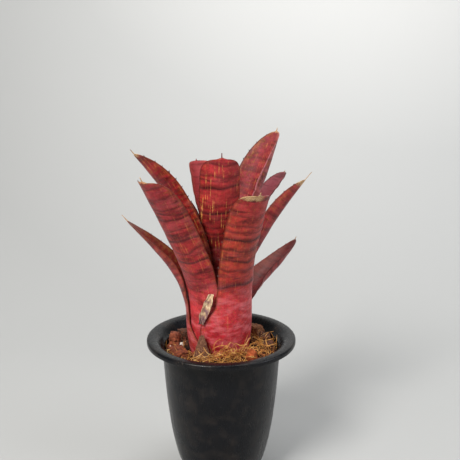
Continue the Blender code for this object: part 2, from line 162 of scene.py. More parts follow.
for name, place, size, power, tint in (
        ("soft_box_left", (-0.42, -0.60, 0.80), 0.34, 11.5, "FFFCF8"),
        ("soft_box_right", (0.75, -0.20, 0.50), 0.50, 2.8, "F8FAFF"),
        ("soft_box_top", (0.10, 0.22, 0.90), 0.40, 3.4, "FFFFFF")):
    lamp_data = bpy.data.lights.new(name, "AREA")
    lamp_data.shape = "SQUARE"
    lamp_data.size = size
    lamp_data.energy = power
    lamp_data.color = srgb(tint)[:3]
    lamp = put(name, lamp_data)
    lamp.location = place
    lamp.rotation_euler = (Vector((0.0, 0.0, 0.11)) - Vector(place)).to_track_quat("-Z", "Y").to_euler()
world = bpy.data.worlds.new("room")
world.use_nodes = True
world.node_tree.nodes["Background"].inputs["Color"].default_value = srgb("F2F4F6")
world.node_tree.nodes["Background"].inputs["Strength"].default_value = 0.26
bpy.context.scene.world = world

# ------------------------------------------------------------------- pot
# Nursery pot, injection-moulded in one piece from black recycled
# polypropylene: a thin tapering wall, a flared rim with a turned-down lip,
# five drain holes and a small gate nick at the front of the lip.
pot_low, pot_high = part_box("pot")
RIM_R, POT_H = pot_high.x, pot_high.z
FLARE, WALL, FLOOR = 8.4 * MM, 1.0 * MM, 1.4 * MM
BODY_R = RIM_R - FLARE
# outside of the wall as (height, radius), in fractions of pot height and body radius
WALL_LINE = ((0.010, 0.635), (0.030, 0.655), (0.092, 0.700), (0.169, 0.772), (0.31, 0.852),
             (0.435, 0.902), (0.62, 0.952), (0.81, 0.987), (0.90, 1.0))


def fair(line, steps):
    """More points on a line, on a smooth curve through the given ones."""
    out = []
    for i in range(len(line) - 1):
        p = [Vector(line[max(0, min(len(line) - 1, i + k))]) for k in (-1, 0, 1, 2)]
        for s in range(steps):
            t = s / steps
            out.append(tuple(0.5 * ((2 * p[1]) + (p[2] - p[0]) * t
                                    + (2 * p[0] - 5 * p[1] + 4 * p[2] - p[3]) * t * t
                                    + (3 * p[1] - p[0] - 3 * p[2] + p[3]) * t * t * t)))
    return out + [tuple(line[-1])]


def turned(name, line, steps):
    """Draws a profile point by point and spins it round the upright axis."""
    bpy.ops.mesh.primitive_plane_add(size=MM)
    piece = bpy.context.object
    piece.name = name
    mode("EDIT")
    bpy.ops.mesh.select_mode(type="VERT")
    bpy.ops.mesh.select_all(action="SELECT")
    bpy.ops.mesh.merge(type="CENTER")
    bpy.ops.transform.translate(value=(line[0][0], 0.0, line[0][1]))
    for (r0, z0), (r1, z1) in zip(line, line[1:]):
        bpy.ops.mesh.extrude_vertices_move(TRANSFORM_OT_translate={"value": (r1 - r0, 0.0, z1 - z0)})
    bpy.ops.mesh.select_all(action="SELECT")
    bpy.ops.mesh.spin(steps=steps, angle=2.0 * pi, center=(0.0, 0.0, 0.0), axis=(0.0, 0.0, 1.0))
    bpy.ops.mesh.select_all(action="SELECT")
    bpy.ops.mesh.remove_doubles(threshold=1e-6)
    bpy.ops.mesh.normals_make_consistent(inside=False)
    mode("OBJECT")
    return piece


wall_out = [(r * BODY_R, h * POT_H) for h, r in fair(WALL_LINE, 4)]
# round the rim in mm: up its outside slope, round the turned-down lip, then down its inside
rim = [(BODY_R + out * FLARE, POT_H - down * MM)
       for out, down in ((0.04, 5.6), (0.10, 4.5), (0.20, 3.3), (0.42, 1.9))]
rim += [(RIM_R - back * MM, POT_H - down * MM) for back, down in (
    (1.3, 1.25), (1.1, 1.4), (1.1, 2.5), (1.0, 2.6), (0.3, 2.6), (0.08, 2.5), (0.0, 2.3), (0.0, 1.0),
    (0.12, 0.55), (0.45, 0.2), (1.0, 0.04), (1.8, 0.0))]
rim += [(BODY_R + out * FLARE, POT_H - down * MM) for out, down in (
    (0.60, 0.02), (0.45, 0.35), (0.30, 1.1), (0.20, 1.9), (0.11, 3.0), (0.02, 4.2))]
rim.append((BODY_R - 0.7 * WALL, POT_H - 4.8 * MM))
wall_in = [(r - WALL, z) for r, z in reversed(wall_out[6:])]
pot = turned("pot_shell", [(0.0, 0.0), (0.59 * BODY_R, 0.0), (0.615 * BODY_R, 0.2 * MM)] + wall_out + rim
             + wall_in + [(0.640 * BODY_R - WALL, FLOOR + 0.8 * MM), (0.60 * BODY_R - WALL, FLOOR + 0.1 * MM),
                          (0.57 * BODY_R - WALL, FLOOR), (0.0, FLOOR)], 160)
for vert in pot.data.vertices:
    x, y, z = vert.co
    if y < 0.0 and abs(x + 2.1 * MM) < 0.8 * MM and RIM_R - 1.2 * MM < -y and z < POT_H - 2.0 * MM:
        vert.co.z += 0.55 * MM
DRAINS, DRAIN_R, DRAIN_RING = 5, 3.4 * MM, 12.0 * MM
punches = []
for i in range(DRAINS):
    a = radians(36.0 + 360.0 / DRAINS * i)
    bpy.ops.mesh.primitive_cylinder_add(vertices=32, radius=DRAIN_R, depth=4.0 * FLOOR,
                                        location=(DRAIN_RING * sin(a), -DRAIN_RING * cos(a), 0.5 * FLOOR))
    punches.append(bpy.context.object)
pick(*punches)
bpy.ops.object.join()
drill = bpy.context.object
cut = pot.modifiers.new("drain", "BOOLEAN")
cut.object = drill
cut.solver = "EXACT"
pick(pot)
bpy.ops.object.modifier_apply(modifier="drain")
bpy.data.objects.remove(drill, do_unlink=True)
bpy.ops.object.shade_smooth_by_angle(angle=radians(38))
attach(pot, "root")
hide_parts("pot")

# moulded polypropylene: near black with a faint blue cast that is painted reflection, a satin
# sheen, faint upright flow lines in the wall, flecked paler along the rim as a painted highlight, and dusted
# with dry mix
poly, tree, shader, where = surface("black_polypropylene")
axes = node(tree, "SeparateXYZ", (where,))
cloud = node(tree, "TexNoise", {"Vector": where, "Scale": 55.0, "Detail": 4.0})
# the faint blue in these blacks is painted reflection of a bluish gloss
body = node(tree, "ValToRGB", (cloud,), stops=((0.3, "08090D"), (0.55, "0E0F13"), (0.75, "191514")))
speck = node(tree, "TexNoise", {"Vector": where, "Scale": 1400.0, "Detail": 3.0, "Roughness": 0.65})
speck = node(tree, "ValToRGB", (speck,), stops=((0.60, 0.0), (0.70, 1.0)))
drift = node(tree, "TexNoise", {"Vector": where, "Scale": 140.0, "Detail": 5.0})
drift = node(tree, "ValToRGB", (drift,), stops=((0.48, 0.0), (0.74, 0.7)))
# flecks paler in the top few mm, along the rim: painted highlight, over a faint dusting of mix everywhere
high = node(tree, "MapRange", (axes.outputs["Z"], POT_H - 6.0 * MM, POT_H - 1.0 * MM))
dust_and_rim_highlight = node(tree, "Math", (drift, high), operation="MULTIPLY")
dust_and_rim_highlight = node(tree, "Math", (dust_and_rim_highlight, speck), operation="MULTIPLY")
faint = node(tree, "Math", (drift, 0.10), operation="MULTIPLY")
dust_and_rim_highlight = node(tree, "Math", (dust_and_rim_highlight, faint), operation="ADD", use_clamp=True)
paint = node(tree, "Mix", {"Factor": dust_and_rim_highlight, "A": body, "B": "7A6A5C"}, data_type="RGBA")
stretch = node(tree, "Mapping", {0: where, "Scale": (1.0, 1.0, 0.12)})
lines = node(tree, "TexNoise", {"Vector": stretch, "Scale": 420.0, "Detail": 3.0})
satin = node(tree, "MapRange", (lines, 0.3, 0.7, 0.22, 0.36))
matt = node(tree, "Math", (dust_and_rim_highlight, 0.4, satin), operation="MULTIPLY_ADD")
peel = node(tree, "TexNoise", {"Vector": where, "Scale": 1100.0, "Detail": 2.0})
swell = node(tree, "Math", (lines, 0.8, peel), operation="MULTIPLY_ADD")
dent = node(tree, "Bump", {"Strength": 0.22, "Distance": 0.00015, "Height": swell})
node(tree, shader, {"Base Color": paint, "Roughness": matt, "Normal": dent, "IOR": 1.49,
              "Specular IOR Level": 0.22})
pot.data.materials.clear()
pot.data.materials.append(poly)

# ----------------------------------------------------------- growing mix
# Open orchid-type mix of peat, fine bark and husk, tipped in loose and
# settled by watering.  Its top is a rough bed of crumbs round the bulb.
PLANT_X = -1.8 * MM
BULB_R = 18.2 * MM
MIX_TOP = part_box("growing_mix")[1].z
FOOT = FLOOR + 0.35 * MM


def bed(x, y):
    """Height of the bed of mix at a place in the pot."""
    at = Vector((x, y, 0.0))
    lumps = 1.3 * noise.noise(at * 260.0) + 0.8 * noise.noise(at * 620.0) + 0.35 * noise.noise(at * 1500.0)
    away = (at - Vector((PLANT_X, 0.0, 0.0))).length
    heap = max(0.0, 1.0 - (away - BULB_R) / (6.0 * MM))
    front = max(0.0, -y) / (30.0 * MM)
    return MIX_TOP + (0.4 + lumps + 0.9 * heap + 1.3 * front) * MM


def wall_at(z):
    """Inside radius of the pot at height z."""
    for (r0, z0), (r1, z1) in zip(wall_out, wall_out[1:]):
        if z <= z1:
            return r0 + (r1 - r0) * (z - z0) / (z1 - z0) - WALL
    return wall_out[-1][0] - WALL


BED_RINGS = 22
bed_out = wall_at(MIX_TOP) - 0.4 * MM
bed_in = BULB_R + 0.2 * MM
line = [(0.0, FOOT), (0.55 * BODY_R, FOOT)]
line += [(wall_at(h * POT_H) - 0.42 * MM, h * POT_H) for h in (0.1, 0.17, 0.25, 0.35, 0.45, 0.6, 0.75)]
line += [(bed_out + (bed_in - bed_out) * i / BED_RINGS, MIX_TOP) for i in range(BED_RINGS + 1)]
line += [(bed_in - 1.4 * MM, MIX_TOP - 5.0 * MM), (bed_in - 5.0 * MM, MIX_TOP - 12.0 * MM),
         (7.0 * MM, MIX_TOP - 18.0 * MM), (4.8 * MM, MIX_TOP - 20.0 * MM),
         (4.8 * MM, MIX_TOP - 26.3 * MM), (0.0, MIX_TOP - 26.3 * MM)]
mix = turned("peat_and_bark_bed", line, 144)
for vert in mix.data.vertices:
    x, y, z = vert.co
    away = (x * x + y * y) ** 0.5
    if z > MIX_TOP - 0.01 * MM:
        shift = (bed_out - away) / (bed_out - bed_in)
        vert.co.x += PLANT_X * shift
        edge = min(1.0, (bed_out - away) / (1.5 * MM) + 0.15)
        vert.co.z += (bed(vert.co.x, y) - MIX_TOP) * edge
    elif away < bed_in and z > FOOT + MM:
        vert.co.x += PLANT_X
bpy.ops.object.shade_smooth()
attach(mix, "root")
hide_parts("growing_mix")

# damp peat: dark coffee brown broken by rusty shreds, rough as soil is
peat, tree, shader, where = surface("peat_and_bark")
lump = node(tree, "TexNoise", {"Vector": where, "Scale": 420.0, "Detail": 6.0, "Roughness": 0.7})
soil = node(tree, "ValToRGB", (lump,),
              stops=((0.28, "0E0704"), (0.45, "23120A"), (0.58, "452415"), (0.74, "6E3D20")))
cell = node(tree, "TexVoronoi", {"Vector": where, "Scale": 700.0})
pale = node(tree, "ValToRGB", (cell.outputs["Color"],), stops=((0.80, 0.0), (0.86, 0.5)))
soil = node(tree, "Mix", {"Factor": pale, "A": soil, "B": "8A5528"}, data_type="RGBA")
rough = node(tree, "Math", (lump, cell), operation="SUBTRACT")
dent = node(tree, "Bump", {"Strength": 0.9, "Distance": 0.0009, "Height": rough})
damp = node(tree, "MapRange", (lump, 0.3, 0.7, 0.72, 0.95))
node(tree, shader, {"Base Color": soil, "Roughness": damp, "Normal": dent})
mix.data.materials.clear()
mix.data.materials.append(peat)


# ---------------------------------------------------------- loose crumbs
# Crumbs of peat, bark and broken husk lie all over the bed, with a few white
# grains of expanded perlite among them.  Each is a small knocked-about lump.
def material_bark(name, dark, mid, light, ash, grain=(0.55, 0.55, 2.2)):
    """Pine bark: flaky layers, darker in the cracks, ashy on the outside."""
    mat, tree, shader, where = surface(name)
    bent = node(tree, "TexNoise", {"Vector": where, "Scale": 260.0, "Detail": 3.0})
    bent = node(tree, "Mix", {"Factor": 0.012, "A": where, "B": bent.outputs["Color"]}, data_type="VECTOR")
    plates = node(tree, "Mapping", {0: bent, "Scale": grain})
    flake = node(tree, "TexNoise", {"Vector": plates, "Scale": 620.0, "Detail": 6.0, "Roughness": 0.68})
    tone = node(tree, "ValToRGB", (flake,), stops=((0.30, dark), (0.48, mid), (0.66, light), (0.80, ash)))
    grit = node(tree, "TexNoise", {"Vector": where, "Scale": 2300.0, "Detail": 2.0})
    shade = node(tree, "MapRange", (grit, 0.3, 0.7, 0.7, 1.2))
    tone = node(tree, "Mix", {"Factor": 1.0, "A": tone, "B": shade}, data_type="RGBA", blend_type="MULTIPLY")
    rise = node(tree, "Math", (grit, 0.3, flake), operation="MULTIPLY_ADD")
    dent = node(tree, "Bump", {"Strength": 0.8, "Distance": 0.0007, "Height": rise})
    rough = node(tree, "MapRange", (flake, 0.3, 0.7, 0.95, 0.72))
    node(tree, shader, {"Base Color": tone, "Roughness": rough, "Normal": dent})
    return mat


bark_dark = material_bark("pine_bark_dark", "180A06", "46230F", "7C4424", "98683F")
bark_red = material_bark("pine_bark_red", "2E1008", "74341C", "B05C32", "C48A62")
bark_tan = material_bark("pine_bark_tan", "3A1C10", "86502F", "B98158", "CBA488")

def material_porous(name, stain, tints, pore_scale, pore, rough):
    """A stone full of pores, unevenly coloured."""
    mat, tree, shader, where = surface(name)
    tone = node(tree, "TexNoise", {"Vector": where, **stain})
    tone = node(tree, "ValToRGB", (tone,), stops=tints)
    pits = node(tree, "TexVoronoi", {"Vector": where, "Scale": pore_scale})
    dent = node(tree, "Bump", {**pore, "Height": pits})
    node(tree, shader, {"Base Color": tone, "Normal": dent, "Roughness": rough})
    return mat


# perlite: chalky white foam stone, pitted, stained a little by the peat
perlite = material_porous("expanded_perlite", {"Scale": 700.0, "Detail": 4.0},
                          ((0.32, "8F7C68"), (0.46, "D8CEC0"), (0.62, "F3EEE6")),
                          2600.0, {"Strength": 0.7, "Distance": 0.0003}, 0.92)

random.seed(41)
for name, mat, slot, count, small, large, lift in (
        ("crumbs_of_peat", peat, "growing_mix", 620, 0.5, 1.5, 0.5),
        ("crumbs_of_dark_bark", bark_dark, "bark_chips", 300, 0.7, 2.0, 0.9),
        ("crumbs_of_red_bark", bark_red, "bark_chips", 240, 0.6, 1.9, 1.2),
        ("crumbs_of_tan_husk", bark_tan, "husk_fibre", 110, 0.5, 1.4, 1.5),
        ("crumbs_of_perlite", perlite, "perlite", 16, 0.4, 0.9, 1.5)):
    bpy.ops.mesh.primitive_ico_sphere_add(subdivisions=1, radius=1.0)
    grain = bpy.context.object
    corners = [v.co.copy() for v in grain.data.vertices]
    sides = [tuple(p.vertices) for p in grain.data.polygons]
    bpy.data.objects.remove(grain, do_unlink=True)
    verts, faces = [], []
    while len(faces) < count * len(sides):
        a = random.uniform(0.0, 2.0 * pi)
        half = random.uniform(small, large) * MM
        r = random.uniform(BULB_R + half, bed_out - half)
        x, y = r * sin(a) + PLANT_X * (bed_out - r) / (bed_out - bed_in), -r * cos(a)
        turn = Matrix.Rotation(random.uniform(0.0, pi), 3, Vector((random.random(), random.random(), 0.5)))
        grow = Vector((half, half * random.uniform(0.45, 0.9), half * random.uniform(0.3, 0.7)))
        at = Vector((x, y, bed(x, y) + random.uniform(0.0, lift) * MM))
        start = len(verts)
        for corner in corners:
            wob = 1.0 + 0.45 * noise.noise(corner * 1.7 + at * 3000.0)
            verts.append(at + turn @ Vector((corner.x * grow.x, corner.y * grow.y, corner.z * grow.z)) * wob)
        faces += [tuple(start + i for i in side) for side in sides]
    mesh = bpy.data.meshes.new(name)
    mesh.from_pydata(verts, [], faces)
    crumbs = put(name, mesh)
    crumbs.data.materials.append(mat)
    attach(crumbs, "root")

# -------------------------------------------------------- lumps of bark
# Chunks and chips of broken pine bark, a split of husk, one fired clay nugget
# and two larger grains of perlite, dropped on the bed and left as they fell.
# Each is split from a thicker piece, so its sides show the layers.
# clay: low-fired and orange, dusty with open pores
clay = material_porous("fired_clay", {"Scale": 420.0, "Detail": 5.0, "Roughness": 0.65},
                       ((0.28, "5A2210"), (0.46, "A04A20"), (0.62, "C8683A"), (0.78, "DB9468")),
                       1500.0, {"Strength": 0.8, "Distance": 0.0004}, 0.93)
bark_shard = material_bark("weathered_bark", "38180F", "7A4E38", "A9795A", "D8B48C", (2.0, 2.0, 0.4))
# node: material, slot, length round the pot, depth and height in mm, turn,
# narrowing at the top, layering, roundness
lumps = {
    "bark_shard_front": (bark_shard, "bark_chips", (10.4, 2.6, 15.5), 4, 0.22, 0.3, 0.0),
    "bark_chunk_front_left": (bark_red, "bark_chips", (13.5, 8.0, 5.4), -6, 0.85, 1.0, 0.25),
    "bark_chunk_left": (bark_red, "bark_chips", (10.0, 6.6, 7.6), 8, 0.75, 0.8, 0.5),
    "bark_chunk_back_left": (bark_dark, "bark_chips", (8.6, 8.0, 5.2), -14, 0.80, 1.0, 0.4),
    "bark_chip_back_left": (bark_dark, "bark_chips", (10.0, 7.0, 4.4), 6, 0.85, 1.0, 0.3),
    "bark_chunk_back": (bark_red, "bark_chips", (9.0, 8.2, 6.2), 16, 0.75, 1.0, 0.4),
    "bark_chip_back": (bark_dark, "bark_chips", (7.5, 6.8, 4.2), -10, 0.85, 1.0, 0.3),
    "husk_chip_back_right": (bark_tan, "bark_chips", (11.0, 7.0, 7.0), 8, 0.82, 1.1, 0.3),
    "bark_chunk_right": (bark_dark, "bark_chips", (8.8, 7.6, 6.0), -14, 0.75, 1.0, 0.4),
    "bark_chunk_front_right": (bark_dark, "bark_chips", (7.4, 5.8, 5.6), 16, 0.78, 0.9, 0.4),
    "clay_nugget_front": (clay, "clay_nugget", (6.8, 6.0, 6.6), 24, 0.70, 0.25, 0.9),
    "perlite_grain_left": (perlite, "perlite", (2.6, 2.0, 4.4), 4, 0.8, 0.2, 0.8),
    "perlite_grain_back": (perlite, "perlite", (2.8, 2.2, 3.0), -10, 0.8, 0.2, 0.8),
}
for cad_name, (mat, slot, size, turn, taper, layers, round_off) in lumps.items():
    low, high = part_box(cad_name)
    middle = 0.5 * (low + high)
    bpy.ops.mesh.primitive_cube_add(size=2.0)
    lump = bpy.context.object
    lump.name = cad_name + "_rough"
    mode("EDIT")
    bpy.ops.mesh.subdivide(number_cuts=5 if size[0] < 4 else 13)
    mode("OBJECT")
    outward = atan2(middle.x, -middle.y) + radians(turn)
    spin = Matrix.Rotation(outward, 3, "Z")
    length, depth, tall = (0.5 * s * MM for s in size)
    seed = Vector((middle.x * 3000.0, middle.y * 3000.0, 5.0))
    for vert in lump.data.vertices:
        p = vert.co.copy()
        ball = p.normalized() * 1.12
        p = p.lerp(ball, round_off * 0.75)
        level = 0.5 * (p.z + 1.0)
        narrow = 1.0 - (1.0 - taper) * max(0.0, level)
        q = Vector((p.x * length, p.y * depth, p.z * tall))
        band = noise.noise(Vector((0.0, 0.0, p.z * (2.5 + 2.0 * layers))) + seed)
        big = noise.noise(q * 190.0 + seed)
        mid = noise.noise(q * 520.0 + seed)
        fine = noise.noise(q * 1500.0 + seed)
        side = 1.0 + 0.20 * layers * band + 0.26 * big + 0.16 * mid + 0.07 * fine
        top = 1.0 + (0.20 * big + 0.14 * mid + 0.06 * fine) * max(0.0, p.z)
        lean = 0.12 * p.x * level * tall
        vert.co = middle + spin @ Vector((q.x * narrow * side * 0.97, q.y * narrow * side * 0.97,
                                          max(-tall, min(tall, q.z * top * 0.92 + lean))))
    bpy.ops.object.shade_smooth_by_angle(angle=radians(32))
    lump.data.materials.append(mat)
    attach(lump, "root")
    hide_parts(cad_name)

# ---------------------------------------------------------- husk fibres
# Loose golden strands of coconut husk, springy and round, tangled on top of
# the bed at the front and right and caught in the crumbs elsewhere.
husk, tree, shader, where = surface("coconut_fibre")
mixup = node(tree, "TexNoise", {"Vector": where, "Scale": 330.0, "Detail": 3.0})
tone = node(tree, "ValToRGB", (mixup,),
              stops=((0.30, "6E3E18"), (0.44, "B87830"), (0.56, "DCA050"), (0.72, "F0CB8A")))
strand = node(tree, "TexNoise", {"Vector": where, "Scale": 2600.0, "Detail": 2.0})
shade = node(tree, "MapRange", (strand, 0.3, 0.7, 0.75, 1.15))
tone = node(tree, "Mix", {"Factor": 1.0, "A": tone, "B": shade}, data_type="RGBA", blend_type="MULTIPLY")
dent = node(tree, "Bump", {"Strength": 0.4, "Distance": 0.0001, "Height": strand})
node(tree, shader, {"Base Color": tone, "Normal": dent, "Roughness": 0.6})

# how far out a strand may lie, how near the bulb, and how high
FURTHEST, NEAREST, BULB_TOP, HIGHEST = 30.0 * MM, BULB_R + 0.6 * MM, POT_H + 16.0 * MM, POT_H + 5.0 * MM
STEPS = 8
random.seed(77)
# piece, nodes it stands for, azimuth range, distance range, strands, longest, how high
for name, stands_for, (a0, a1), (r0, r1), count, longest, high_up in (
        ("husk_strands_front", "fibre_tangle_front", (-12, 36), (19.0, 29.5), 170, 15.0, 7.0),
        ("husk_strands_right", "fibre_tangle_right", (45, 112), (19.5, 29.5), 150, 14.0, 6.0),
        ("husk_strands_left", "fibre_tangle_left", (-66, -18), (20.0, 29.5), 60, 10.0, 3.5),
        ("husk_strands_scattered", None, (112, 318), (20.0, 29.0), 90, 10.0, 3.0)):
    curve = bpy.data.curves.new(name, "CURVE")
    curve.dimensions = "3D"
    curve.bevel_depth = 0.17 * MM
    curve.bevel_resolution = 0
    curve.use_fill_caps = True
    for i in range(count):
        a, r = radians(random.uniform(a0, a1)), random.uniform(r0, r1) * MM
        at = Vector((r * sin(a) + 0.6 * PLANT_X, -r * cos(a), 0.0))
        at.z = bed(at.x, at.y) + random.uniform(0.1, high_up ** 0.5) ** 2 * MM
        course = random.uniform(0.0, 2.0 * pi)
        pitch = random.gauss(0.1, 0.42)
        bend = random.gauss(0.0, 0.22)
        dive = random.gauss(-0.03, 0.10)
        stride = random.uniform(0.35, 1.0) * longest * MM / STEPS
        points = []
        for k in range(STEPS + 1):
            points.append(at.copy())
            at = at + Vector((cos(course) * cos(pitch), sin(course) * cos(pitch), sin(pitch))) * stride
            course += bend
            pitch += dive
            far = Vector((at.x, at.y))
            if far.length > FURTHEST:
                far *= FURTHEST / far.length
            from_bulb = far - Vector((PLANT_X, 0.0))
            if from_bulb.length < NEAREST and at.z < BULB_TOP:
                from_bulb *= NEAREST / from_bulb.length
            far = from_bulb + Vector((PLANT_X, 0.0))
            at = Vector((far.x, far.y, min(HIGHEST, max(at.z, bed(far.x, far.y) + 0.15 * MM))))
        spline = curve.splines.new("NURBS")
        spline.points.add(len(points) - 1)
        thick = random.uniform(0.55, 1.25)
        for k, (point, target) in enumerate(zip(spline.points, points)):
            point.co = (target.x, target.y, target.z, 1.0)
            point.radius = thick * (1.0 - 0.5 * abs(2.0 * k / STEPS - 1.0) ** 2)
        spline.use_endpoint_u = True
        spline.order_u = 4
        spline.resolution_u = 2
    strands = put(name, curve)
    pick(strands)
    bpy.ops.object.convert(target="MESH")
    strands = bpy.context.object
    strands.data.materials.clear()
    strands.data.materials.append(husk)
    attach(strands, "root")
    if stands_for:
        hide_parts(stands_for)

# ---------------------------------------------------------------- leaves
# Twelve stiff strap leaves, each a channel that widens at its foot into a
# sheath.  The sheaths wrap one over the next into a bulb, as the plant grew
# them.  Blades are leathery, cross-banded, with small horny marginal teeth.
PITCH = 1.23 * MM
LEAF_T = 0.8 * MM
BULGE_Z = POT_H + 11.0 * MM
ATTACH_Z = POT_H - 25.0 * MM
ATTACH_STEP = 1.8 * MM
ATTACH_R = 5.0 * MM
CORE_R = 4.67 * MM
ACROSS = 36

# horn: the teeth and end spines, dark brown and polished, black at the point
horn, tree, shader, where = surface("leaf_horn")
vein = node(tree, "TexNoise", {"Vector": where, "Scale": 1500.0, "Detail": 2.0})
tone = node(tree, "ValToRGB", (vein,), stops=((0.35, "1C0A08"), (0.65, "4A1F14")))
node(tree, shader, {"Base Color": tone, "Roughness": 0.4})

# shape numbers in mm and degrees:
#   layer  nesting order         az     direction the blade leans
#   neck   height above the rim where the blade leaves the bulb
#   reach, rise   tip distance from the plant axis, tip height above the rim
#   lean   blade angle off upright at the tip     hw  half width
#   ch     channel radius        tip    length of the tapering end
#   p      bluntness             wrap   half angle of the sheath
#   spine  end spine             soft   how early the blade bends
#   roll   turn about its length curl   how far the tip rolls up
#   hold   height above the rim up to which the sheath keeps its full wrap
# looks, left and right as seen from outside the leaf:
#   skin   outer colours from the bulb to the tip
#   lining inner colours left and right    lined   how far they cover the inner face
#   bands  (mm past the neck, half width, strength)
#   fine   spacing in mm and strength of the faint bands
#   gold   dry golden scratches    olive   olive mottling
#   dry    mm of dried tip         dry_to  how far right of the middle it is dried
#   teeth  size of the teeth       hem     colours of the left and right margin,
#          the dark ones partly painted shade, the pale ones painted highlight
#   blush  mm to the side at which the painted pink sheen is full, and its strength there
# what most of the leaves share
usual = dict(spine=3, soft=0.3, roll=0, hold=-4, curl=0.0, dry_to=60, teeth=0.7, lined=1.0,
             hem=("5A1C14", "6E2A1C"), painted_sheen=(12, 0.1))
